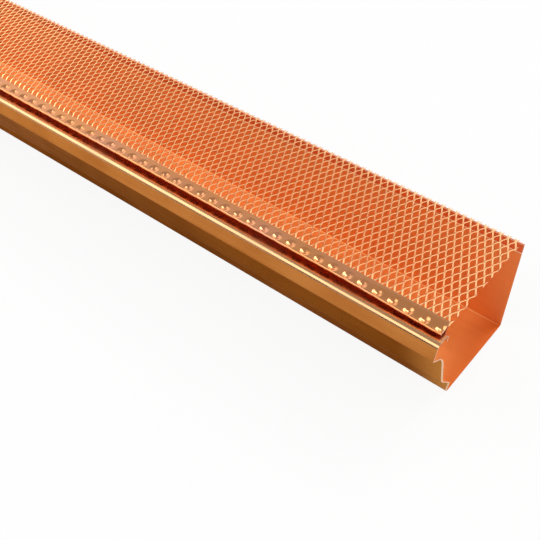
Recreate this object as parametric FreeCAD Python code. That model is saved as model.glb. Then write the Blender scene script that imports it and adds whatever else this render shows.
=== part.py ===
"""Three-foot length of copper mesh gutter guard, locked on the front lip of its five-inch ogee gutter.

Frame: X along the gutter, -Y to the ogee front, +Y to the wall side, Z up.
The origin is under the middle of the length and depth, on the plane that the flat bottom stands on.
"""
import FreeCAD
import Part

import math
import os

# Lengths, in millimetres.
GUARD_LENGTH = 914.4        # the guard is sold by the yard
END_MARGIN = 3.0            # bare gutter past each end of the guard

# Gutter section, outside sizes.
GUTTER_SHEET = 0.7          # 20 oz copper
TOP_DEPTH = 127.0           # nominal five inches, front of the lip to the wall side
BOTTOM_DEPTH = 85.0
BACK_HEIGHT = 95.0
FRONT_HEIGHT = 89.5
BEND = 1.5                  # mid-line radius of the brake bends
HEM_HEIGHT = 9.5            # back edge folded flat to the inside
HEM_GAP = 0.4
TOE_HEIGHT = 8.2            # short upright at the front of the bottom
TOE_BEND = 2.5
STEP_OUT = 16.7             # slanted step above the toe
STEP_RISE = 16.0
FASCIA_HEIGHT = 14.3
FOOT_OUT = 3.4              # foot of the fascia in front of the lip, which the guard draws back
SOFFIT_DEPTH = 17.0         # slope under the fascia, into the cove
SOFFIT_DROP = 11.4
COVE_RADIUS = 24.0
LIP_BEND = 3.5
LIP_DEPTH = 14.0
LIP_RETURN = 7.0

# Expanded mesh.
MESH_THICKNESS = 0.9
STRAND_WIDTH = 1.0
MESH_PITCH = 6.53           # short way of the diamond, along the gutter
MESH_ROW = 14.1             # long way of the diamond, across the gutter
MESH_SKEW = 0.43            # each half row lies this much further along +X than the one behind it
MESH_PHASE = 0.48           # place of the last row of knuckles in each pitch, from the -X end
KNUCKLE_LENGTH = 2.0        # length over which two strands are one
KNUCKLE_INSET = 3.4         # last row of knuckles, in front of the wall side
BACK_INSET = 0.3            # cut ends of the mesh, in front of the wall side
MESH_PANELS = 7             # lengths that the mesh is divided into

# Lock strip, folded over the front edge of the mesh.
STRIP_SHEET = 0.6
STRIP_DEPTH = 12.5          # nose to the rear edge of the upper leaf
NOSE_SETBACK = 6.7          # nose behind the front of the lip
CLAMP_DEPTH = 4.0           # mesh held between the leaves
HEEL_INSET = 1.8            # lower leaf stops short of the upper one
LIP_CLEARANCE = 0.25        # leg and hook from the lip's return
HOOK_LENGTH = 6.0
LEG_BEND = 0.8
SEAT_GAP = 0.1              # mesh above the crown of the back hem

# Crimp dents along the upper leaf.
DENT_PITCH = 13.47
DENT_END = 1.8              # first dent from the end of the strip
DENT_SETBACK = 4.5          # from the nose
DENT_RADIUS = 2.9
DENT_FLOOR_RADIUS = 1.2
DENT_DEPTH = 0.75
DENT_SIDES = 8

# Places worked out from the sizes, with Y = 0 half way between the lip and the wall side.
GUTTER_LENGTH = GUARD_LENGTH + 2 * END_MARGIN
BACK_FACE = TOP_DEPTH / 2
LIP_FRONT = -TOP_DEPTH / 2
LIP_BACK = LIP_FRONT + LIP_DEPTH
MESH_BOTTOM = BACK_HEIGHT + SEAT_GAP
MESH_TOP = MESH_BOTTOM + MESH_THICKNESS
NOSE = LIP_FRONT + NOSE_SETBACK
LEAF_BACK = NOSE + STRIP_DEPTH
MESH_FRONT = LEAF_BACK - CLAMP_DEPTH
MESH_BACK = BACK_FACE - BACK_INSET


def unit(start, end):
    """Direction from start to end, and its left-hand normal."""
    step = FreeCAD.Vector(0, end[0] - start[0], end[1] - start[1]).normalize()
    return step, FreeCAD.Vector(0, -step.z, step.y)


def sheet_side(path, offset):
    """Edges of one face of a bent sheet: the mid-line path moved sideways by offset.

    Path points are (y, z, bend radius); the first and last have no bend.
    """
    legs = [unit(a, b) for a, b in zip(path, path[1:])]
    edges = []
    here = FreeCAD.Vector(0, path[0][0], path[0][1]) + legs[0][1] * offset
    for (y, z, radius), (step_in, left_in), (step_out, left_out) in zip(path[1:], legs, legs[1:]):
        corner = FreeCAD.Vector(0, y, z)
        half_turn = step_in.getAngle(step_out) / 2
        tangent = radius * math.tan(half_turn)
        to_centre = (step_out - step_in).normalize()
        middle = corner + to_centre * (radius / math.cos(half_turn) - radius)
        bend_start = corner - step_in * tangent + left_in * offset
        bend_middle = middle + (left_in + left_out).normalize() * offset
        bend_end = corner + step_out * tangent + left_out * offset
        if here.distanceToPoint(bend_start) > 1e-6:
            edges.append(Part.LineSegment(here, bend_start).toShape())
        edges.append(Part.Arc(bend_start, bend_middle, bend_end).toShape())
        here = bend_end
    end = FreeCAD.Vector(0, path[-1][0], path[-1][1]) + legs[-1][1] * offset
    edges.append(Part.LineSegment(here, end).toShape())
    return edges


def bent_sheet(path, thickness, length):
    """Solid of a sheet bent along path and run along X, centred on X = 0."""
    left = sheet_side(path, thickness / 2)
    right = sheet_side(path, -thickness / 2)
    starts = [side[0].Curve.value(side[0].FirstParameter) for side in (left, right)]
    ends = [side[-1].Curve.value(side[-1].LastParameter) for side in (left, right)]
    caps = [Part.LineSegment(*starts).toShape(), Part.LineSegment(*ends).toShape()]
    outline = Part.Wire(Part.__sortEdges__(left + right + caps))
    section = Part.Face(outline)
    section.translate(FreeCAD.Vector(-length / 2, 0, 0))
    return section.extrude(FreeCAD.Vector(length, 0, 0))


def gutter_trough():
    """Ogee gutter, bent from one sheet: hemmed back, flat bottom, stepped ogee front and turned-in lip."""
    half = GUTTER_SHEET / 2
    back = BACK_FACE - half
    fold = (GUTTER_SHEET + HEM_GAP) / 2
    hem = back - 2 * fold
    crown = BACK_HEIGHT - half
    toe = BACK_FACE - BOTTOM_DEPTH + half
    lip_front = LIP_FRONT + half
    foot = lip_front - FOOT_OUT
    fascia_foot = FRONT_HEIGHT - FASCIA_HEIGHT
    lip = FRONT_HEIGHT - half
    lip_end = LIP_BACK - half
    path = [
        (hem, BACK_HEIGHT - HEM_HEIGHT, 0),
        (hem, crown, fold),
        (back, crown, fold),
        (back, half, BEND),
        (toe, half, BEND),
        (toe, TOE_HEIGHT, TOE_BEND),
        (toe - STEP_OUT, TOE_HEIGHT + STEP_RISE, BEND),
        (foot + SOFFIT_DEPTH, fascia_foot - SOFFIT_DROP, COVE_RADIUS),
        (foot, fascia_foot, BEND),
        (lip_front, lip, LIP_BEND),
        (lip_end, lip, BEND),
        (lip_end, FRONT_HEIGHT - LIP_RETURN, 0),
    ]
    return bent_sheet(path, GUTTER_SHEET, GUTTER_LENGTH)


def dent_places():
    """X of each crimp dent, counted from the +X end of the strip."""
    count = int((GUARD_LENGTH - 2 * DENT_END) // DENT_PITCH) + 1
    return [GUARD_LENGTH / 2 - DENT_END - DENT_PITCH * number for number in range(count)]


def ring(radius, height):
    """Regular polygon about the Z axis, with few sides because there is one at each end of every dent."""
    turns = [2 * math.pi * side / DENT_SIDES for side in range(DENT_SIDES + 1)]
    return Part.makePolygon([
        FreeCAD.Vector(radius * math.cos(turn), radius * math.sin(turn), height) for turn in turns
    ])


def dents(top):
    """Compound of tapered dents with their mouths at height top."""
    rings = [ring(DENT_RADIUS, top), ring(DENT_FLOOR_RADIUS, top - DENT_DEPTH)]
    dent = Part.makeLoft(rings, True, True)
    row = NOSE + DENT_SETBACK
    return Part.makeCompound([dent.translated(FreeCAD.Vector(x, row, 0)) for x in dent_places()])


def lock_strip():
    """Strip folded over the mesh, with a leg behind the gutter's lip, a hook under it and a row of crimp dents."""
    half = STRIP_SHEET / 2
    fold = (MESH_THICKNESS + STRIP_SHEET) / 2
    upper = MESH_TOP + half
    lower = MESH_BOTTOM - half
    leg = LIP_BACK + LIP_CLEARANCE + half
    hook = FRONT_HEIGHT - LIP_RETURN - LIP_CLEARANCE - half
    path = [
        (LEAF_BACK, upper, 0),
        (NOSE + half, upper, fold),
        (NOSE + half, lower, fold),
        (LEAF_BACK - HEEL_INSET, lower, LEG_BEND),
        (leg, FRONT_HEIGHT, LEG_BEND),
        (leg, hook, LEG_BEND),
        (leg - HOOK_LENGTH, hook, 0),
    ]
    strip = bent_sheet(path, STRIP_SHEET, GUARD_LENGTH)
    raised_under = strip.fuse(dents(MESH_TOP))
    return raised_under.cut(dents(MESH_TOP + STRIP_SHEET))


def opening(x, y, pitch):
    """One opening of the mesh, centred at x, y: a knuckle at each side, and two strands to each of its points."""
    across = pitch / 2 - STRAND_WIDTH
    side = KNUCKLE_LENGTH / 2
    point = MESH_ROW / 2 - side
    right = [(across, -side), (across, side)]
    left = [(-across, side), (-across, -side)]
    around = right + [(-MESH_SKEW, point)] + left + [(MESH_SKEW, -point)] + right[:1]
    return Part.Face(Part.makePolygon([FreeCAD.Vector(x + dx, y + dy, MESH_BOTTOM) for dx, dy in around]))


def mesh_panel():
    """One length of mesh, cut square through its strands, with its low-X end at X = 0."""
    length = GUARD_LENGTH / MESH_PANELS
    columns = round(length / MESH_PITCH)
    pitch = length / columns
    knuckles = BACK_FACE - KNUCKLE_INSET
    half_rows = math.ceil((knuckles - MESH_FRONT) / (MESH_ROW / 2)) + 1
    openings = []
    for half_row in range(-1, half_rows):
        y = knuckles - half_row * MESH_ROW / 2
        stagger = MESH_PHASE + (0.5 if half_row % 2 == 0 else 0)
        start = stagger * pitch + half_row * MESH_SKEW
        openings += [opening(start + column * pitch, y, pitch) for column in range(-2, columns + 1)]
    corner = FreeCAD.Vector(0, MESH_FRONT, MESH_BOTTOM)
    sheet = Part.makePlane(length, MESH_BACK - MESH_FRONT, corner)
    lattice = max(sheet.cut(openings).Faces, key=lambda face: face.Area)
    return lattice.extrude(FreeCAD.Vector(0, 0, MESH_THICKNESS))


def mesh_panels():
    """The mesh of the guard, panel by panel from the -X end; the strands of neighbours meet end to end."""
    panel = mesh_panel()
    step = GUARD_LENGTH / MESH_PANELS
    return [
        panel.translated(FreeCAD.Vector(number * step - GUARD_LENGTH / 2, 0, 0))
        for number in range(MESH_PANELS)
    ]


def main():
    pieces = {"gutter_trough": gutter_trough(), "lock_strip": lock_strip()}
    for number, panel in enumerate(mesh_panels(), start=1):
        pieces[f"mesh_panel_{number}"] = panel
    to_middle = FreeCAD.Vector(0, -pieces["gutter_trough"].BoundBox.Center.y, 0)
    print("moved along Y by", round(to_middle.y, 4))
    os.makedirs("parts", exist_ok=True)
    for name, shape in pieces.items():
        shape.translate(to_middle)
        shape.exportStep(f"parts/{name}.step")
        print(name, "solids", len(shape.Solids), "cm3", round(shape.Volume / 1000, 2))


main()
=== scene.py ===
"""Copper mesh gutter guard, locked on the lip of its ogee gutter: the dressed model, as an add-on."""
import math

import bmesh
import bpy
from bpy.props import FloatProperty, FloatVectorProperty, PointerProperty
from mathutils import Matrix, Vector


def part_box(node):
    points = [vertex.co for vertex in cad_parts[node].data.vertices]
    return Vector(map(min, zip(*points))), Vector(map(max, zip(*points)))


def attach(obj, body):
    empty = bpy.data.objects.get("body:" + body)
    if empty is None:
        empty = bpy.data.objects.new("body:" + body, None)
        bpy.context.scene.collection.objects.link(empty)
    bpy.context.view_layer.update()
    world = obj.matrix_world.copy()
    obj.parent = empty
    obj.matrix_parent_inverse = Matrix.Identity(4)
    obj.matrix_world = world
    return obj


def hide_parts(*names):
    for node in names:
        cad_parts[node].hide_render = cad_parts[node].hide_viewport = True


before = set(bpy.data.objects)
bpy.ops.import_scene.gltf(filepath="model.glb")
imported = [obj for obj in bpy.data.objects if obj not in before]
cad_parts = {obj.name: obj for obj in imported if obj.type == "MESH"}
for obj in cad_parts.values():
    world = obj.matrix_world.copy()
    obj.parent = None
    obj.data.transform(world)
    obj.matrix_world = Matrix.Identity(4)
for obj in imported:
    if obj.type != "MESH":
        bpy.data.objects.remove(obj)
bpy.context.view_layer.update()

bl_info = {
    "name": "Copper gutter guard",
    "version": (1, 0, 0),
    "blender": (4, 5, 0),
    "location": "View3D > Sidebar > Gutter guard",
    "description": "Models a copper mesh gutter guard on its gutter, with its finishes, lights and camera",
    "category": "Add Mesh",
}

GUTTER_LOW, GUTTER_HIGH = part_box("gutter_trough")
STRIP_LOW, STRIP_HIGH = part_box("lock_strip")
PANELS = sorted(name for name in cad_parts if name.startswith("mesh_panel_"))
PANEL_LOW, PANEL_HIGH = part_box(PANELS[0])
GUARD_LOW_END, GUARD_HIGH_END = PANEL_LOW.x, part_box(PANELS[-1])[1].x

TOUCH = 1e-5                # places closer than this are the same, in metres
ON_PLANE = 1e-7             # corners closer than this to a cutting plane lie on it, in metres
WIDE_BEND = 0.01            # a bend with a larger radius than this is a hollow, in metres
HOLLOW_FACES = 14           # faces round a hollow
BEND_FACES = 4              # faces round a bend of the gutter
LEG_FACES = 2               # faces round a bend of the strip's leg
NOSE_FACES = 6              # faces round the strip's nose
DENT_COLUMNS = 16           # faces along the strip for each dent
DENT_ROWS = 20              # faces across the strip's upper leaf
SPARE_COLUMNS = 5           # knuckles drawn beyond those of one length of mesh
COLUMNS_BEFORE = 4          # how many of them stand before its low-X end
SPARE_ROWS = 2              # rows of knuckles drawn beyond the mesh's front
SENSOR_WIDTH = 36           # of the camera, in millimetres
NEAREST_SEEN = 0.01         # from the camera, in metres

# Slots of the gutter's finishes and of the strip's, in the order in which they are added
TROUGH, FRONT, CUT_EDGE, LIP, GROOVE_SHADE, SHADED_COVE, HEM, BOTTOM = range(8)
STRIP_EDGE, STRIP_GROOVE_SHADE = 1, 2

# Colour sockets of a Mix node, whose names its other sockets have too
MIX_FIRST, MIX_SECOND, MIX_RESULT = 6, 7, 2


def length(name, description, millimetres):
    """A length that a user may change, given in millimetres."""
    return FloatProperty(
        name=name, description=description, default=millimetres / 1000, unit="LENGTH", precision=5
    )


def share(name, description, value):
    """A number from 0 to 1 that a user may change."""
    return FloatProperty(
        name=name, description=description, default=value, min=0, max=1, subtype="FACTOR"
    )


def amount(name, description, value):
    """A plain number that a user may change."""
    return FloatProperty(name=name, description=description, default=value)


def colour(name, description, value):
    """A colour that a user may change."""
    return FloatVectorProperty(
        name=name, description=description, default=value, size=3, min=0, max=1, subtype="COLOR"
    )


def place(name, description, value):
    """A place in the row's frame, in metres."""
    return FloatVectorProperty(
        name=name, description=description, default=value, size=3, subtype="TRANSLATION"
    )


class GutterSizes(bpy.types.PropertyGroup):
    """Section of the gutter, on the middle of its sheet where nothing else is said."""

    sheet: length("Sheet", "Thickness of the gutter's copper", 0.7)
    top_depth: length("Top depth", "Front of the lip to the wall side", 127.0)
    bottom_depth: length("Bottom depth", "Wall side to the front of the flat bottom", 91.0)
    front_height: length("Front height", "Height of the lip", 89.5)
    bend: length("Bend", "Radius of the brake bends", 1.5)
    hem_height: length("Hem height", "Back edge that is folded flat to the inside", 9.5)
    hem_gap: length("Hem gap", "Air between the hem and the back wall", 0.4)
    toe_height: length("Toe height", "Short upright at the front of the bottom", 9.8)
    toe_lean: length("Toe lean", "Top of the toe behind its foot", 2.5)
    toe_bend: length("Toe bend", "Radius at the top of the toe", 2.5)
    step_out: length("Step out", "Reach of the slanted step above the toe", 15.6)
    step_rise: length("Step rise", "Height of the slanted step", 16.4)
    fascia_height: length("Fascia height", "Upright band below the lip", 14.3)
    foot_out: length("Foot out", "Foot of the fascia in front of the lip", 3.4)
    soffit_depth: length("Soffit depth", "Reach of the slope under the fascia", 17.0)
    soffit_drop: length("Soffit drop", "Height of the slope under the fascia", 11.4)
    cove_radius: length("Cove radius", "Hollow between the step and the slope", 24.0)
    lip_bend: length("Lip bend", "Radius at the front of the lip", 3.5)
    lip_depth: length("Lip depth", "Flat top of the lip", 14.0)
    lip_return: length("Lip return", "Edge of the lip that is turned down", 7.0)
    # Painted highlight: bands of bright cut-edge copper this wide along the cove's cut ends and the hem's
    # foot.
    lit_band: length("Lit band", "Band along the front's cut ends that is filed bright", 1.1)
    # Painted shade: over this stretch at each open end, the bottom's copper goes darker.
    shaded_ends: length("Shaded ends", "Stretch of the bottom that hands have darkened at each end", 30.0)
    # Painted light: over this stretch at each end, the cove's copper goes lighter.
    lit_ends: length("Lit ends", "Stretch of the cove that hands have rubbed bright at each end", 44.0)


class StripSizes(bpy.types.PropertyGroup):
    """Section of the lock strip and its crimp dents."""

    sheet: length("Sheet", "Thickness of the strip's copper", 0.6)
    heel_inset: length("Heel inset", "Lower leaf stops short of the upper one by this", 1.8)
    leg_clearance: length("Leg clearance", "Leg and hook from the lip's return", 0.25)
    leg_bend: length("Leg bend", "Radius of the leg's bends", 0.8)
    hook_length: length("Hook length", "Hook under the lip's return", 6.0)
    dent_pitch: length("Dent pitch", "From one crimp dent to the next", 13.47)
    dent_end: length("Dent end", "First dent from the strip's end", 1.8)
    dent_setback: length("Dent setback", "Dents behind the nose", 4.5)
    dent_radius: length("Dent radius", "Mouth of each dent", 4.6)
    dent_depth: length("Dent depth", "Depth of each dent", 1.45)
    nose_draw: length("Nose draw", "Nose drawn back in front of each dent", 0.25)
    nose_reach: length("Nose reach", "Stretch of the nose that each dent draws back", 5.0)
    droop: length("Droop", "Nose at the high-X end below the rest of it", 2.2)
    droop_length: length("Droop length", "Stretch of the strip over which the nose droops", 95.0)


class MeshSizes(bpy.types.PropertyGroup):
    """Expanded mesh: strands that lean one way and meet in knuckles."""

    pitch: length("Pitch", "Short way of the openings, along the gutter", 6.53)
    row: length("Row", "Long way of the openings, across the gutter", 14.1)
    skew: length("Skew", "Each half row is this much further along than the one behind it", 0.43)
    phase: share("Phase", "Place of the rear knuckles in each pitch, from the low-X end", 0.48)
    knuckle_inset: length("Knuckle inset", "Rear knuckles in front of the gutter's wall side", 3.4)
    knuckle_length: length("Knuckle length", "Length over which two strands are one", 2.3)
    strand_width: length("Strand width", "Width of a strand", 1.3)
    strand_thickness: length("Strand thickness", "Sheet that the mesh is expanded from", 0.65)
    lean: FloatProperty(
        name="Lean", description="Angle that the strands turn out of the sheet, to the high-X end",
        default=math.radians(-39), subtype="ANGLE",
    )
    rise: length("Rise", "Middle of the strands above the middle of the flat sheet", 0.48)
    clamped: share("Clamped", "Height that the clamped front of the mesh keeps", 0.35)
    edge_round: length("Edge round", "Worn corner along each strand", 0.08)
    overhang: length("Overhang", "Strands past each end of the strip", 1.2)


class CopperFinishes(bpy.types.PropertyGroup):
    """Colours of the copper, fresh and dulled."""

    trough: colour("Trough", "Inside of the gutter", (0.94, 0.42, 0.150))
    trough_dull: colour("Trough, dulled", "Inside where it has dulled", (0.88, 0.36, 0.118))
    # Painted shade: the darker colour that the trough's bottom goes over to at its open ends.
    shaded_ends: colour("Trough, shaded ends", "Bottom of the trough at its open ends", (0.70, 0.20, 0.048))
    hem: colour("Hem", "Folded back edge of the gutter", (0.80, 0.31, 0.16))
    hem_dull: colour("Hem, dulled", "Folded back edge where it has dulled", (0.70, 0.24, 0.12))
    # Painted shade: the cove and all below it, fresh and dulled, are a darker copper than the fascia
    # above.
    cove: colour("Cove", "Hollow of the front and all below it", (0.38, 0.125, 0.022))
    cove_dull: colour("Cove, dulled", "Hollow where it has browned", (0.25, 0.070, 0.009))
    # Painted light: the lighter colour that the darker cove goes over to at both ends.
    cove_lit: colour("Cove, lit ends", "Hollow of the front at its ends", (0.68, 0.31, 0.080))
    # Painted shade: the outside of the sheet, fresh and dulled, is a darker copper than its inside.
    front: colour("Front", "Outside of the gutter", (0.57, 0.21, 0.048))
    front_dull: colour("Front, dulled", "Outside where it has browned", (0.46, 0.145, 0.026))
    front_rim: colour("Front, glancing", "Tint of the outside at a glance", (0.82, 0.60, 0.45))
    lip: colour("Lip", "Top of the gutter's lip", (0.82, 0.44, 0.21))
    lip_dull: colour("Lip, dulled", "Top of the lip where it has dulled", (0.72, 0.37, 0.18))
    # Painted shade: dark copper for the groove under the strip's nose, where shade falls.
    groove_shade: colour("Groove shade", "Copper in the groove under the nose", (0.62, 0.105, 0.026))
    groove_shade_dull: colour("Sheltered, dulled", "Groove where it has dulled", (0.50, 0.070, 0.014))
    strip: colour("Strip", "Lock strip", (0.94, 0.39, 0.145))
    strip_dull: colour("Strip, dulled", "Lock strip where it has dulled", (0.80, 0.37, 0.25))
    mesh: colour("Mesh", "Strands of the mesh", (1.0, 0.60, 0.285))
    mesh_dull: colour("Mesh, dulled", "Strands where they have dulled", (0.97, 0.51, 0.215))
    edge: colour("Cut edge", "Freshly cut edges of the sheets", (1.0, 0.70, 0.44))
    edge_dull: colour("Cut edge, dulled", "Cut edges with finger marks", (0.93, 0.60, 0.40))


class StageSetting(bpy.types.PropertyGroup):
    """Camera, lights and floor."""

    camera_place: place("Camera place", "Where the camera stands", (0.5990, -0.4155, 0.5218))
    camera_forward: FloatVectorProperty(
        name="Camera direction", description="Where the camera looks",
        default=(-0.4502, 0.5500, -0.7034), size=3, subtype="DIRECTION",
    )
    lens: FloatProperty(
        name="Lens", description="Focal length in millimetres", default=54.13,
        subtype="DISTANCE_CAMERA",
    )
    floor: colour("Floor", "Colour of the floor", (0.90, 0.90, 0.90))
    floor_side: length("Floor side", "Side of the square floor", 12000)
    floor_roughness: share("Floor roughness", "Roughness of the floor", 0.9)
    floor_gloss: share("Floor gloss", "Specular level of the floor", 0.1)
    floor_shown: share("Floor shown", "Plain white in the floor that the camera sees", 0.9)
    floor_mirrored: share("Floor mirrored", "Plain white in the floor that metal mirrors", 0.1)
    sky: amount("Sky", "Strength of the light from overhead", 0.42)
    horizon: amount("Horizon", "Strength of the light from the sides and behind", 1.2)
    front_horizon: amount("Front horizon", "Strength of the low light from in front", 0.12)
    front_low: amount("Front low", "Y of the directions that are fully in front", -0.85)
    front_high: amount("Front high", "Y of the directions that are fully at the sides", -0.40)
    horizon_low: share("Horizon low", "Height up to which the light from all sides is full", 0.30)
    horizon_high: share("Horizon high", "Height above which all light is from overhead", 0.78)
    rear_place: place("Rear light place", "Where the panel light behind hangs", (0.70, 1.15, 1.63))
    rear_aim: place("Rear light aim", "Where the panel light behind points", (0.30, -0.05, 0.09))
    rear_width: length("Rear light width", "Width of the panel light behind", 1000)
    rear_height: length("Rear light height", "Height of the panel light behind", 800)
    rear_light: amount("Rear light", "Strength of the panel light behind", 4.4)
    front_place: place("Front light place", "Where the front panel light hangs", (-0.75, -1.15, 1.45))
    front_aim: place("Front light aim", "Where the front panel light points", (0.2, 0, 0.05))
    front_width: length("Front light width", "Width of the front panel light", 3000)
    front_height: length("Front light height", "Height of the front panel light", 1500)
    front_light: amount("Front light", "Strength of the front panel light", 1.75)


def only(piece):
    """Makes piece the one selected and active object."""
    bpy.ops.object.select_all(action="DESELECT")
    piece.select_set(True)
    bpy.context.view_layer.objects.active = piece


def begin(name, size):
    """Names the unit primitive just added, puts its size and place in its mesh and opens it."""
    piece = bpy.context.object
    piece.name = name
    piece.data.name = name
    piece.scale = size
    bpy.ops.object.transform_apply(location=True, rotation=True, scale=True)
    bpy.ops.object.mode_set(mode="EDIT")
    return piece


def pick(kind, test):
    """Selects only the vertices, edges or faces that have every corner pass the test."""
    bpy.ops.mesh.select_mode(type=kind)
    bpy.ops.mesh.select_all(action="DESELECT")
    form = bmesh.from_edit_mesh(bpy.context.object.data)
    parts = {"VERT": form.verts, "EDGE": form.edges, "FACE": form.faces}[kind]
    found = [
        part for part in parts
        if all(test(corner.co) for corner in ([part] if kind == "VERT" else part.verts))
    ]
    if not found:
        raise RuntimeError(f"no {kind.lower()} of {bpy.context.object.name} is at the place looked for")
    for part in found:
        part.select_set(True)
    form.select_flush_mode()
    bmesh.update_edit_mesh(bpy.context.object.data)


def pick_line(y, z):
    """Selects the edges that run along the gutter at y, z."""
    pick("EDGE", lambda co: abs(co.y - y) < TOUCH and abs(co.z - z) < TOUCH)


def pull(way, reach, connected=False):
    """Moves what is selected, and draws along what lies within reach of it."""
    bpy.ops.transform.translate(
        value=way, use_proportional_edit=True, proportional_edit_falloff="SMOOTH",
        use_proportional_connected=connected, proportional_size=reach,
    )


def draw_out(points):
    """Extrudes the selected edges through the points of a section, from the first one on."""
    for (y0, z0, _), (y1, z1, _) in zip(points, points[1:]):
        bpy.ops.mesh.extrude_region_move(TRANSFORM_OT_translate={"value": (0, y1 - y0, z1 - z0)})


def round_bends(points, faces):
    """Rounds every inner corner of a section to its own radius, with more faces in a hollow."""
    for (y0, z0, _), (y, z, radius), (y1, z1, _) in zip(points, points[1:], points[2:]):
        arriving = Vector((y - y0, z - z0))
        leaving = Vector((y1 - y, z1 - z))
        half_turn = arriving.angle(leaving) / 2
        pick_line(y, z)
        bpy.ops.mesh.bevel(
            offset=radius * math.tan(half_turn), offset_type="OFFSET",
            segments=HOLLOW_FACES if radius > WIDE_BEND else faces, affect="EDGES", clamp_overlap=False,
        )


def merge_all():
    """Joins the vertices that lie on each other."""
    bpy.ops.mesh.select_mode(type="VERT")
    bpy.ops.mesh.select_all(action="SELECT")
    bpy.ops.mesh.remove_doubles(threshold=TOUCH / 2)


def cut_off(at, outward, fill):
    """Cuts everything past a plane away."""
    bpy.ops.mesh.select_all(action="SELECT")
    bpy.ops.mesh.bisect(
        plane_co=at, plane_no=outward, use_fill=fill, clear_outer=True, threshold=ON_PLANE
    )


def split(at, across):
    """Cuts every face along a plane, and keeps both sides."""
    bpy.ops.mesh.select_all(action="SELECT")
    bpy.ops.mesh.bisect(plane_co=at, plane_no=across, threshold=ON_PLANE)


def paint(piece, slot, test, only_on=None):
    """Gives another finish to the faces that pass the test, or to those that have one finish now."""
    pick("FACE", test)
    form = bmesh.from_edit_mesh(piece.data)
    for face in form.faces:
        if face.select and only_on not in (None, face.material_index):
            face.select_set(False)
    bmesh.update_edit_mesh(piece.data)
    piece.active_material_index = slot
    bpy.ops.object.material_slot_assign()


def apply_modifier(piece, kind, **settings):
    """Adds a modifier with its settings and applies it."""
    only(piece)
    modifier = piece.modifiers.new(kind.title(), kind)
    for name, value in settings.items():
        setattr(modifier, name, value)
    bpy.ops.object.modifier_apply(modifier=modifier.name)


def repeat(piece, count, offset, **merging):
    """Repeats a piece in a row."""
    apply_modifier(
        piece, "ARRAY", count=count, use_relative_offset=False, use_constant_offset=True,
        constant_offset_displace=offset, **merging,
    )


def press_flat(panel, share_left):
    """Presses the part of the mesh that is in the strip's clamp flat."""
    only(panel)
    bpy.ops.object.mode_set(mode="EDIT")
    pick("VERT", lambda co: co.y < STRIP_HIGH.y)
    level = (PANEL_LOW.z + PANEL_HIGH.z) / 2
    form = bmesh.from_edit_mesh(panel.data)
    clamped = [v.co.z for v in form.verts if v.select]
    bpy.ops.transform.translate(value=(0, 0, level - (min(clamped) + max(clamped)) / 2))
    bpy.ops.transform.resize(value=(1, 1, share_left), center_override=(0, 0, level))
    bpy.ops.object.mode_set(mode="OBJECT")


def smooth(piece, degrees):
    """Shades the piece smooth, with edges sharper than the angle kept."""
    only(piece)
    bpy.ops.object.shade_smooth_by_angle(angle=math.radians(degrees))


def finish_piece(piece, slot, *nodes):
    """Says what the piece rides on and which solids it stands for; its slot is not used."""
    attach(piece, "root")
    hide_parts(*nodes)


def add_node(tree, kind, inputs=None, **settings):
    """Adds a shader node; each of its inputs is given a value, or an output that feeds it."""
    node = tree.nodes.new(kind)
    for name, value in settings.items():
        setattr(node, name, value)
    for name, value in (inputs or {}).items():
        if isinstance(value, bpy.types.NodeSocket):
            tree.links.new(value, node.inputs[name])
        else:
            node.inputs[name].default_value = value
    return node


def math_node(tree, operation, *values):
    """Adds a Math node and gives its result."""
    node = add_node(tree, "ShaderNodeMath", dict(enumerate(values)), operation=operation)
    return node.outputs["Value"]


def start_group(name, inputs, outputs):
    """Starts a node group with its named inputs, their defaults and its named outputs."""
    group = bpy.data.node_groups.new(name, "ShaderNodeTree")
    for title, default in inputs.items():
        kind = "NodeSocketColor" if isinstance(default, tuple) else "NodeSocketFloat"
        group.interface.new_socket(title, in_out="INPUT", socket_type=kind).default_value = default
    for title, kind in outputs.items():
        group.interface.new_socket(title, in_out="OUTPUT", socket_type=kind)
    given = group.nodes.new("NodeGroupInput").outputs
    result = group.nodes.new("NodeGroupOutput").inputs
    return group, given, result


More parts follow.
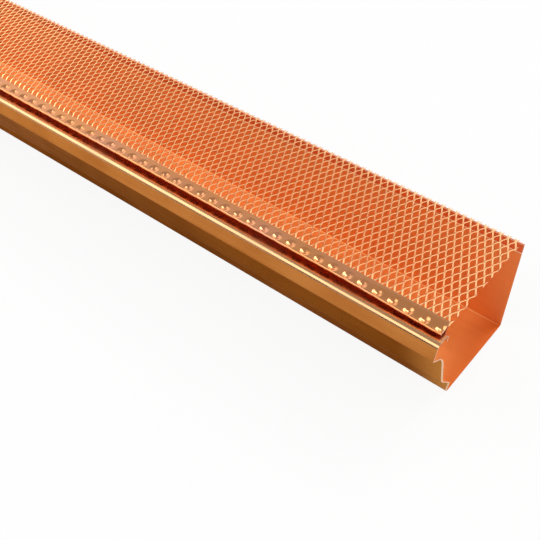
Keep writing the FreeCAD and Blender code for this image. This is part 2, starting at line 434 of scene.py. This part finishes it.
def rolled_copper_group():
    """Node group for rolled copper: dulled blotches, streaks along the sheet, grain and slow waves."""
    name = "rolled copper"
    if name in bpy.data.node_groups:
        return bpy.data.node_groups[name]
    group, given, result = start_group(
        name,
        {
            "Fresh": (0.9, 0.5, 0.3, 1),
            "Dulled": (0.7, 0.3, 0.15, 1),
            "Dulling": 0.6,
            "Low roughness": 0.25,
            "High roughness": 0.40,
            "Grain": 0.25,
            "Waves": 1.0,
        },
        {"Color": "NodeSocketColor", "Roughness": "NodeSocketFloat", "Height": "NodeSocketFloat"},
    )
    where = add_node(group, "ShaderNodeTexCoord").outputs["Object"]

    def noise(scale, detail, stretch=(1, 1, 1)):
        mapped = add_node(group, "ShaderNodeMapping", {"Vector": where, "Scale": stretch})
        inputs = {"Vector": mapped.outputs["Vector"], "Scale": scale, "Detail": detail}
        return add_node(group, "ShaderNodeTexNoise", inputs).outputs["Fac"]

    blotches = noise(scale=16, detail=4)
    streaks = noise(scale=260, detail=2, stretch=(0.03, 1, 1))
    grain = noise(scale=2600, detail=1)
    waves = noise(scale=9, detail=1, stretch=(0.6, 1, 1))

    blotch_share, streak_share = 0.7, 0.3
    dull_from, dull_to = 0.38, 0.62
    marks = math_node(
        group, "ADD",
        math_node(group, "MULTIPLY", blotches, blotch_share),
        math_node(group, "MULTIPLY", streaks, streak_share),
    )
    inputs = {"Value": marks, "From Min": dull_from, "From Max": dull_to}
    spread = add_node(group, "ShaderNodeMapRange", inputs).outputs["Result"]
    dulling = math_node(group, "MULTIPLY", spread, given["Dulling"])
    inputs = {"Factor": dulling, MIX_FIRST: given["Fresh"], MIX_SECOND: given["Dulled"]}
    mixed = add_node(group, "ShaderNodeMix", inputs, data_type="RGBA")
    group.links.new(mixed.outputs[MIX_RESULT], result["Color"])

    inputs = {"Value": spread, "To Min": given["Low roughness"], "To Max": given["High roughness"]}
    rough = add_node(group, "ShaderNodeMapRange", inputs)
    group.links.new(rough.outputs["Result"], result["Roughness"])

    grain_height = 0.02
    fine = math_node(
        group, "MULTIPLY",
        math_node(group, "ADD", grain, streaks),
        math_node(group, "MULTIPLY", given["Grain"], grain_height),
    )
    slow = math_node(group, "MULTIPLY", waves, given["Waves"])
    group.links.new(math_node(group, "ADD", fine, slow), result["Height"])
    return group


def painted_ends_group():
    """Node group that lets a colour go over to a tint towards both ends of the gutter, for painted light
    and shade there.
    """
    name = "painted ends tint"
    if name in bpy.data.node_groups:
        return bpy.data.node_groups[name]
    group, given, result = start_group(
        name,
        {"Color": (0.9, 0.5, 0.3, 1), "Tint": (0.7, 0.3, 0.15, 1), "Reach": 0.03},
        {"Color": "NodeSocketColor"},
    )
    where = add_node(group, "ShaderNodeTexCoord").outputs["Object"]
    apart = add_node(group, "ShaderNodeSeparateXYZ", {"Vector": where})
    inputs = {
        "Value": math_node(group, "ABSOLUTE", apart.outputs["X"]),
        "From Min": math_node(group, "SUBTRACT", GUTTER_HIGH.x, given["Reach"]),
        "From Max": GUTTER_HIGH.x,
    }
    near = add_node(group, "ShaderNodeMapRange", inputs, interpolation_type="SMOOTHSTEP")
    inputs = {"Factor": near.outputs["Result"], MIX_FIRST: given["Color"], MIX_SECOND: given["Tint"]}
    mixed = add_node(group, "ShaderNodeMix", inputs, data_type="RGBA")
    group.links.new(mixed.outputs[MIX_RESULT], result["Color"])
    return group


def copper(
    name, fresh, dulled, dulling, roughness, grain=0.25, waves=1.0, rim=(1, 1, 1), metallic=1.0, ends=None
):
    """Material of bare copper, made once under its name.

    Its roughness is a range, rim tints what is seen at a glancing angle, and ends is a tint that
    it goes over to at the gutter's ends, with the stretch over which it does: painted light on
    the cove and painted shade on the bottom.
    """
    if name in bpy.data.materials:
        return bpy.data.materials[name]
    wave_height = 0.002
    material = bpy.data.materials.new(name)
    material.use_nodes = True
    tree = material.node_tree
    shader = tree.nodes["Principled BSDF"]
    shader.inputs["Metallic"].default_value = metallic
    shader.inputs["Specular Tint"].default_value = (*rim, 1)
    inputs = {
        "Fresh": (*fresh, 1),
        "Dulled": (*dulled, 1),
        "Dulling": dulling,
        "Low roughness": roughness[0],
        "High roughness": roughness[1],
        "Grain": grain,
        "Waves": waves,
    }
    sheet = add_node(tree, "ShaderNodeGroup", inputs, node_tree=rolled_copper_group()).outputs
    shade = sheet["Color"]
    if ends:
        tint, reach = ends
        inputs = {"Color": shade, "Tint": (*tint, 1), "Reach": reach}
        end_tinted = add_node(tree, "ShaderNodeGroup", inputs, node_tree=painted_ends_group())
        shade = end_tinted.outputs["Color"]
    inputs = {"Strength": 1, "Distance": wave_height, "Height": sheet["Height"]}
    bump = add_node(tree, "ShaderNodeBump", inputs)
    tree.links.new(shade, shader.inputs["Base Color"])
    tree.links.new(sheet["Roughness"], shader.inputs["Roughness"])
    tree.links.new(bump.outputs["Normal"], shader.inputs["Normal"])
    return material


def cut_edge_copper(finish):
    """Finish of the sheets' cut edges, which is also painted on narrow bands beside them as a highlight.
    """
    return copper(
        "cut edge", finish.edge, finish.edge_dull, dulling=0.5, roughness=(0.35, 0.50), waves=0,
        metallic=0.3,
    )


def groove_shade_copper(finish):
    """Painted shade: dark copper for the groove between the lip and the nose of the strip."""
    return copper(
        "painted groove shade copper", finish.groove_shade, finish.groove_shade_dull, dulling=0.6, roughness=(0.42, 0.55),
        grain=0.03, metallic=0.3,
    )


def gutter_finishes(finish, size):
    """The gutter's materials, in the order of its slots."""
    inside = {"dulling": 0.6, "roughness": (0.50, 0.62), "grain": 0.05}
    outside = {"dulling": 0.7, "roughness": (0.24, 0.36), "grain": 0.05, "rim": finish.front_rim}
    on_lip = {"dulling": 0.6, "roughness": (0.20, 0.32), "grain": 0.03}
    on_hem = {"dulling": 0.6, "roughness": (0.30, 0.42), "grain": 0.05}
    cove_lit_ends = finish.cove_lit, size.lit_ends
    bottom_shaded_ends = finish.shaded_ends, size.shaded_ends
    return (
        copper("trough copper", finish.trough, finish.trough_dull, **inside),
        copper("front copper with painted shade", finish.front, finish.front_dull, **outside),
        cut_edge_copper(finish),
        copper("lip copper", finish.lip, finish.lip_dull, **on_lip),
        groove_shade_copper(finish),
        copper("shaded cove copper", finish.cove, finish.cove_dull, ends=cove_lit_ends, **outside),
        copper("hem copper", finish.hem, finish.hem_dull, **on_hem),
        copper("bottom copper with shaded ends", finish.trough, finish.trough_dull, ends=bottom_shaded_ends, **inside),
    )


class GUARD_OT_gutter(bpy.types.Operator):
    """Bend the gutter from one sheet: bottom first, then the hemmed back and the ogee front"""

    bl_idname = "guard.gutter"
    bl_label = "Gutter"

    def execute(self, context):
        size = context.scene.guard_gutter
        half = size.sheet / 2
        back = GUTTER_HIGH.y - half
        fold = (size.sheet + size.hem_gap) / 2
        hem = back - 2 * fold
        hem_foot = GUTTER_HIGH.z - size.hem_height
        crown = GUTTER_HIGH.z - half
        toe = GUTTER_HIGH.y - size.bottom_depth + half
        toe_top = toe + size.toe_lean
        lip_front = GUTTER_HIGH.y - size.top_depth + half
        foot = lip_front - size.foot_out
        fascia_foot = size.front_height - size.fascia_height
        lip = size.front_height - half
        lip_end = GUTTER_HIGH.y - size.top_depth + size.lip_depth - half
        back_section = [
            (toe, half, size.bend),
            (back, half, size.bend),
            (back, crown, fold),
            (hem, crown, fold),
            (hem, hem_foot, 0),
        ]
        front_section = [
            (back, half, size.bend),
            (toe, half, size.bend),
            (toe_top, size.toe_height, size.toe_bend),
            (toe_top - size.step_out, size.toe_height + size.step_rise, size.bend),
            (foot + size.soffit_depth, fascia_foot - size.soffit_drop, size.cove_radius),
            (foot, fascia_foot, size.bend),
            (lip_front, lip, size.lip_bend),
            (lip_end, lip, size.bend),
            (lip_end, size.front_height - size.lip_return, 0),
        ]
        bpy.ops.object.select_all(action="DESELECT")
        bpy.ops.mesh.primitive_plane_add(size=1, location=(0, (toe + back) / 2, half))
        gutter = begin("gutter", (GUTTER_HIGH.x - GUTTER_LOW.x, back - toe, 1))
        pick_line(back, half)
        draw_out(back_section[1:])
        pick_line(toe, half)
        draw_out(front_section[1:])
        round_bends(back_section, BEND_FACES)
        round_bends(front_section, BEND_FACES)
        merge_all()
        bpy.ops.object.mode_set(mode="OBJECT")
        for material in gutter_finishes(context.scene.guard_copper, size):
            gutter.data.materials.append(material)
        apply_modifier(
            gutter, "SOLIDIFY", thickness=size.sheet, offset=0, use_even_offset=True,
            material_offset=FRONT, material_offset_rim=CUT_EDGE,
        )

        inner = GUTTER_HIGH.x - size.lit_band
        in_fold = hem - size.sheet
        hem_lit_band = hem_foot + size.lit_band
        lip_flat = lip_front + size.lip_bend
        bpy.ops.object.mode_set(mode="EDIT")
        # These cuts mark off the bands that get the painted highlight of bright cut-edge copper.
        for plane in ((inner, 0, 0), (-inner, 0, 0)):
            split(plane, (1, 0, 0))
        split((0, 0, hem_lit_band), (0, 0, 1))
        paint(gutter, LIP, lambda co: co.z > size.front_height - size.lip_bend and co.y < lip_end)
        # Painted shade: the rear of the lip's top, under the nose, gets the dark groove copper.
        paint(
            gutter, GROOVE_SHADE,
            lambda co: co.z > lip - half - TOUCH and lip_flat - TOUCH < co.y < lip_end,
        )
        # Painted shade: the outside below the fascia's foot, cove and all, gets the darker cove copper.
        paint(gutter, SHADED_COVE, lambda co: co.z < fascia_foot and co.y < toe_top, only_on=FRONT)
        # Painted highlight: a band of bright cut-edge copper along each cut end of the cove.
        for side in (1, -1):
            paint(
                gutter, CUT_EDGE,
                lambda co: side * co.x > inner - TOUCH and co.z < fascia_foot and co.y < toe_top,
                only_on=SHADED_COVE,
            )
        # Painted shade: the bottom gets a copper that goes darker towards both open ends.
        paint(gutter, BOTTOM, lambda co: co.z < size.sheet + size.bend, only_on=TROUGH)
        paint(gutter, HEM, lambda co: co.y > in_fold and co.z > hem_lit_band - TOUCH)
        # Painted highlight: the hem's foot gets a band of bright cut-edge copper.
        paint(
            gutter, CUT_EDGE,
            lambda co: in_fold < co.y < hem + TOUCH and hem_foot - TOUCH < co.z < hem_lit_band + TOUCH,
        )
        bpy.ops.object.mode_set(mode="OBJECT")
        smooth(gutter, degrees=35)
        finish_piece(gutter, "gutter_copper", "gutter_trough")
        return {"FINISHED"}


class GUARD_OT_lock_strip(bpy.types.Operator):
    """Crimp and fold one pitch of the lock strip, then repeat it along the guard"""

    bl_idname = "guard.lock_strip"
    bl_label = "Lock strip"

    def execute(self, context):
        size = context.scene.guard_strip
        gutter = context.scene.guard_gutter
        finish = context.scene.guard_copper
        half = size.sheet / 2
        upper = STRIP_HIGH.z - half
        lower = PANEL_LOW.z - half
        middle = (upper + lower) / 2
        nose = STRIP_LOW.y + half + (upper - lower) / 2
        tip = STRIP_LOW.y + half + TOUCH
        leg = GUTTER_HIGH.y - gutter.top_depth + gutter.lip_depth + size.leg_clearance + half
        hook = gutter.front_height - gutter.lip_return - size.leg_clearance - half
        lower_section = [
            (nose, lower, 0),
            (STRIP_HIGH.y - size.heel_inset, lower, size.leg_bend),
            (leg, gutter.front_height, size.leg_bend),
            (leg, hook, size.leg_bend),
            (leg - size.hook_length, hook, 0),
        ]
        first = GUARD_HIGH_END - size.dent_end
        bpy.ops.object.select_all(action="DESELECT")
        bpy.ops.mesh.primitive_grid_add(
            x_subdivisions=DENT_COLUMNS, y_subdivisions=DENT_ROWS, size=1,
            location=(first, (nose + STRIP_HIGH.y) / 2, upper),
        )
        strip = begin("lock_strip_crimped", (size.dent_pitch, STRIP_HIGH.y - nose, 1))
        pick_line(nose, upper)
        bpy.ops.mesh.spin(
            steps=NOSE_FACES, angle=-math.pi, center=(first, nose, middle), axis=(1, 0, 0)
        )
        draw_out(lower_section)
        round_bends(lower_section, LEG_FACES)
        merge_all()

        row = STRIP_LOW.y + size.dent_setback
        near = (STRIP_HIGH.y - nose) / DENT_ROWS / 2
        pick("VERT", lambda co: (
            abs(co.x - first) < TOUCH and abs(co.y - row) < near and abs(co.z - upper) < TOUCH
        ))
        pull((0, 0, -size.dent_depth), size.dent_radius)
        pick("VERT", lambda co: abs(co.x - first) < TOUCH and co.y < tip)
        pull((0, size.nose_draw, 0), size.nose_reach, connected=True)
        bpy.ops.mesh.normals_make_consistent(inside=False)
        bpy.ops.object.mode_set(mode="OBJECT")
        repeats = math.ceil((GUARD_HIGH_END - GUARD_LOW_END) / size.dent_pitch) + 1
        repeat(
            strip, repeats, (-size.dent_pitch, 0, 0), use_merge_vertices=True, merge_threshold=TOUCH
        )

        bpy.ops.object.mode_set(mode="EDIT")
        merge_all()
        cut_off((GUARD_HIGH_END, 0, 0), (1, 0, 0), False)
        cut_off((GUARD_LOW_END, 0, 0), (-1, 0, 0), False)
        form = bmesh.from_edit_mesh(strip.data)
        if max(form.faces, key=lambda face: face.calc_center_median().z).normal.z < 0:
            bpy.ops.mesh.select_all(action="SELECT")
            bpy.ops.mesh.flip_normals()
        bpy.ops.object.mode_set(mode="OBJECT")
        for material in (
            copper(
                "strip copper", finish.strip, finish.strip_dull, dulling=0.6, roughness=(0.16, 0.24),
                grain=0.02,
            ),
            cut_edge_copper(finish),
            groove_shade_copper(finish),
        ):
            strip.data.materials.append(material)
        apply_modifier(
            strip, "SOLIDIFY", thickness=size.sheet, offset=0, use_even_offset=True,
            material_offset_rim=STRIP_EDGE,
        )
        bpy.ops.object.mode_set(mode="EDIT")
        # Painted shade: the strip's lower leaf, leg and hook get the dark groove copper.
        paint(
            strip, STRIP_GROOVE_SHADE,
            lambda co: co.z < lower + half + TOUCH and co.y > nose + TOUCH,
        )

        # The strip is shortened while its nose droops, so that the pull reaches far along it
        depth = STRIP_HIGH.y - STRIP_LOW.y
        shorten = depth / size.droop_length
        end = (GUARD_HIGH_END, 0, 0)
        bpy.ops.mesh.select_all(action="SELECT")
        bpy.ops.transform.resize(value=(shorten, 1, 1), center_override=end)
        pick("VERT", lambda co: co.x > GUARD_HIGH_END - TOUCH and co.y < tip)
        pull((0, 0, -size.droop), depth)
        bpy.ops.mesh.select_all(action="SELECT")
        bpy.ops.transform.resize(value=(1 / shorten, 1, 1), center_override=end)
        bpy.ops.object.mode_set(mode="OBJECT")
        smooth(strip, degrees=40)
        finish_piece(strip, "strip_copper", "lock_strip")
        return {"FINISHED"}


class GUARD_OT_mesh(bpy.types.Operator):
    """Build one knuckle with two strands, repeat it over one length of mesh and copy that to the others"""

    bl_idname = "guard.mesh"
    bl_label = "Mesh"

    def execute(self, context):
        size = context.scene.guard_mesh
        finish = context.scene.guard_copper
        panel_length = PANEL_HIGH.x - PANEL_LOW.x
        columns = round(panel_length / size.pitch)
        pitch = panel_length / columns
        across = size.strand_width * math.cos(size.lean)
        drop = size.strand_width * math.sin(size.lean)
        run = size.row / 2 - size.knuckle_length
        front = size.knuckle_length / 2
        bpy.ops.object.select_all(action="DESELECT")
        bpy.ops.mesh.primitive_cube_add(size=1, location=(0, 0, 0))
        panel = begin("lattice", (2 * size.strand_width, size.knuckle_length, size.strand_thickness))
        bpy.ops.mesh.select_mode(type="EDGE")
        form = bmesh.from_edit_mesh(panel.data)
        for edge in form.edges:
            edge.select_set(abs(edge.verts[0].co.x - edge.verts[1].co.x) > TOUCH)
        bmesh.update_edit_mesh(panel.data)
        bpy.ops.mesh.subdivide(number_cuts=1)
        pick("FACE", lambda co: co.y < -front + TOUCH)
        bpy.ops.mesh.delete(type="FACE")
        bpy.ops.mesh.select_all(action="SELECT")
        bpy.ops.transform.rotate(value=-size.lean, orient_axis="Y", center_override=(0, 0, 0))
        form = bmesh.from_edit_mesh(panel.data)
        if max(form.verts, key=lambda v: v.co.x).co.z * size.lean > 0:
            raise RuntimeError("the knuckle leans the wrong way")
        thick = abs(size.strand_thickness * math.sin(size.lean))
        for side in (1, -1):
            pick("FACE", lambda co: abs(co.y - front) < TOUCH and side * co.x > -thick)
            way = (side * (pitch / 2 - across) - size.skew, run, side * drop)
            bpy.ops.mesh.extrude_region_move(TRANSFORM_OT_translate={"value": way})
        pick("FACE", lambda co: abs(co.y - front - run) < TOUCH)
        bpy.ops.mesh.delete(type="FACE")
        bpy.ops.object.mode_set(mode="OBJECT")
        rows = math.ceil((PANEL_HIGH.y - PANEL_LOW.y) / size.row) + SPARE_ROWS
        for count, offset in (
            (2, (pitch / 2 - size.skew, size.row / 2, 0)),
            (columns + SPARE_COLUMNS, (pitch, 0, 0)),
            (rows, (2 * size.skew, -size.row, 0)),
        ):
            repeat(panel, count, offset, use_merge_vertices=False)

        start = (
            PANEL_LOW.x + (size.phase - COLUMNS_BEFORE) * pitch,
            GUTTER_HIGH.y - size.knuckle_inset,
            (PANEL_LOW.z + PANEL_HIGH.z) / 2 + size.rise,
        )
        bpy.ops.object.mode_set(mode="EDIT")
        merge_all()
        bpy.ops.transform.translate(value=start)
        cut_off(PANEL_LOW, (0, -1, 0), True)
        cut_off(PANEL_HIGH, (0, 1, 0), True)
        bpy.ops.object.mode_set(mode="OBJECT")
        panel.data.materials.append(copper(
            "mesh copper", finish.mesh, finish.mesh_dull, dulling=0.6, roughness=(0.25, 0.38), grain=0.05,
            waves=0,
        ))
        for number, node in enumerate(PANELS, start=1):
            low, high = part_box(node)
            low_end = low.x - (size.overhang if node == PANELS[0] else 0)
            high_end = high.x + (size.overhang if node == PANELS[-1] else 0)
            only(panel)
            bpy.ops.object.duplicate(linked=False)
            piece = context.object
            piece.name = f"mesh_length_{number}"
            piece.data.name = piece.name
            piece.location.x = low.x - PANEL_LOW.x
            bpy.ops.object.transform_apply(location=True, rotation=False, scale=False)
            bpy.ops.object.mode_set(mode="EDIT")
            cut_off((low_end, 0, 0), (-1, 0, 0), True)
            cut_off((high_end, 0, 0), (1, 0, 0), True)
            bpy.ops.object.mode_set(mode="OBJECT")
            press_flat(piece, size.clamped)
            apply_modifier(
                piece, "BEVEL", width=size.edge_round, segments=1, limit_method="ANGLE",
                angle_limit=math.radians(50),
            )
            smooth(piece, degrees=30)
            # The trough is lit evenly through the mesh, which neither shades it nor shows in it
            piece.visible_shadow = False
            piece.visible_glossy = False
            finish_piece(piece, "mesh_copper", node)
        only(panel)
        bpy.ops.object.delete()
        return {"FINISHED"}


def floor_finish(setting):
    """Material of the floor: part plain white to the camera and to mirrors; the rest keeps the shadow."""
    material = bpy.data.materials.new("pale floor")
    material.use_nodes = True
    tree = material.node_tree
    shader = tree.nodes["Principled BSDF"]
    shader.inputs["Base Color"].default_value = (*setting.floor, 1)
    shader.inputs["Roughness"].default_value = setting.floor_roughness
    shader.inputs["Specular IOR Level"].default_value = setting.floor_gloss
    path = add_node(tree, "ShaderNodeLightPath").outputs
    mirrored = math_node(tree, "MULTIPLY", path["Is Glossy Ray"], setting.floor_mirrored)
    seen = math_node(tree, "MULTIPLY_ADD", path["Is Camera Ray"], setting.floor_shown, mirrored)
    glow = add_node(tree, "ShaderNodeEmission", {"Strength": 1})
    inputs = {"Fac": seen, 1: shader.outputs["BSDF"], 2: glow.outputs["Emission"]}
    mixed = add_node(tree, "ShaderNodeMixShader", inputs)
    tree.links.new(mixed.outputs["Shader"], tree.nodes["Material Output"].inputs["Surface"])
    return material


def even_light(setting):
    """World that is bright low down at the sides and behind, dim elsewhere, and white to the camera."""
    world = bpy.data.worlds.new("even light")
    world.use_nodes = True
    tree = world.node_tree
    background = tree.nodes["Background"]
    background.inputs["Color"].default_value = (1, 1, 1, 1)
    way = add_node(tree, "ShaderNodeTexCoord").outputs["Generated"]
    apart = add_node(tree, "ShaderNodeSeparateXYZ", {"Vector": way}).outputs
    sides = add_node(tree, "ShaderNodeMapRange", {
        "Value": apart["Y"],
        "From Min": setting.front_low,
        "From Max": setting.front_high,
        "To Min": setting.front_horizon,
        "To Max": setting.horizon,
    })
    fade = add_node(tree, "ShaderNodeMapRange", {
        "Value": apart["Z"],
        "From Min": setting.horizon_low,
        "From Max": setting.horizon_high,
        "To Min": sides.outputs["Result"],
        "To Max": setting.sky,
    }, interpolation_type="SMOOTHSTEP")
    path = add_node(tree, "ShaderNodeLightPath").outputs
    inputs = {"Factor": path["Is Camera Ray"], "A": fade.outputs["Result"], "B": 1}
    shown = add_node(tree, "ShaderNodeMix", inputs)
    tree.links.new(shown.outputs["Result"], background.inputs["Strength"])
    return world


def look(thing, forward):
    """Turns a light or camera to look along a direction."""
    thing.rotation_euler = Vector(forward).to_track_quat("-Z", "Y").to_euler()


def panel_light(scene, name, at, aim, width, height, strength):
    """Hangs a soft panel light that points at a place."""
    lamp = bpy.data.lights.new(name, "AREA")
    lamp.shape = "RECTANGLE"
    lamp.size = width
    lamp.size_y = height
    lamp.energy = strength * math.pi * width * height
    light = bpy.data.objects.new(name, lamp)
    scene.collection.objects.link(light)
    light.location = at
    look(light, Vector(aim) - Vector(at))


class GUARD_OT_stage(bpy.types.Operator):
    """Set the floor, the soft lights and the camera"""

    bl_idname = "guard.stage"
    bl_label = "Stage"

    def execute(self, context):
        scene = context.scene
        setting = scene.guard_stage
        bpy.ops.object.select_all(action="DESELECT")
        bpy.ops.mesh.primitive_plane_add(size=setting.floor_side, location=(0, 0, 0))
        floor = context.object
        floor.name = "floor"
        floor.data.materials.append(floor_finish(setting))

        scene.world = even_light(setting)
        panel_light(
            scene, "rear panel light", setting.rear_place, setting.rear_aim, setting.rear_width,
            setting.rear_height, setting.rear_light,
        )
        panel_light(
            scene, "front panel light", setting.front_place, setting.front_aim, setting.front_width,
            setting.front_height, setting.front_light,
        )

        lens = bpy.data.cameras.new("camera")
        lens.lens = setting.lens
        lens.sensor_width = SENSOR_WIDTH
        lens.clip_start = NEAREST_SEEN
        camera = bpy.data.objects.new("camera", lens)
        scene.collection.objects.link(camera)
        camera.location = setting.camera_place
        look(camera, setting.camera_forward)
        scene.camera = camera
        scene.view_settings.view_transform = "Standard"
        return {"FINISHED"}


class GUARD_PT_panel(bpy.types.Panel):
    """Sizes, finishes and the steps of the model"""

    bl_idname = "GUARD_PT_panel"
    bl_label = "Gutter guard"
    bl_space_type = "VIEW_3D"
    bl_region_type = "UI"
    bl_category = "Gutter guard"

    def draw(self, context):
        for step, group in STEPS:
            box = self.layout.box()
            box.operator(step.bl_idname)
            settings = getattr(context.scene, group)
            for name in settings.__annotations__:
                box.prop(settings, name)
        finishes = self.layout.box()
        for name in CopperFinishes.__annotations__:
            finishes.prop(context.scene.guard_copper, name)


STEPS = (
    (GUARD_OT_gutter, "guard_gutter"),
    (GUARD_OT_lock_strip, "guard_strip"),
    (GUARD_OT_mesh, "guard_mesh"),
    (GUARD_OT_stage, "guard_stage"),
)
SETTINGS = {
    "guard_gutter": GutterSizes,
    "guard_strip": StripSizes,
    "guard_mesh": MeshSizes,
    "guard_copper": CopperFinishes,
    "guard_stage": StageSetting,
}
CLASSES = (*SETTINGS.values(), *(step for step, group in STEPS), GUARD_PT_panel)


def register():
    for item in CLASSES:
        bpy.utils.register_class(item)
    for name, kind in SETTINGS.items():
        setattr(bpy.types.Scene, name, PointerProperty(type=kind))


def unregister():
    for name in SETTINGS:
        delattr(bpy.types.Scene, name)
    for item in reversed(CLASSES):
        bpy.utils.unregister_class(item)


def main():
    register()
    bpy.ops.guard.gutter()
    bpy.ops.guard.lock_strip()
    bpy.ops.guard.mesh()
    bpy.ops.guard.stage()


if __name__ == "__main__":
    main()
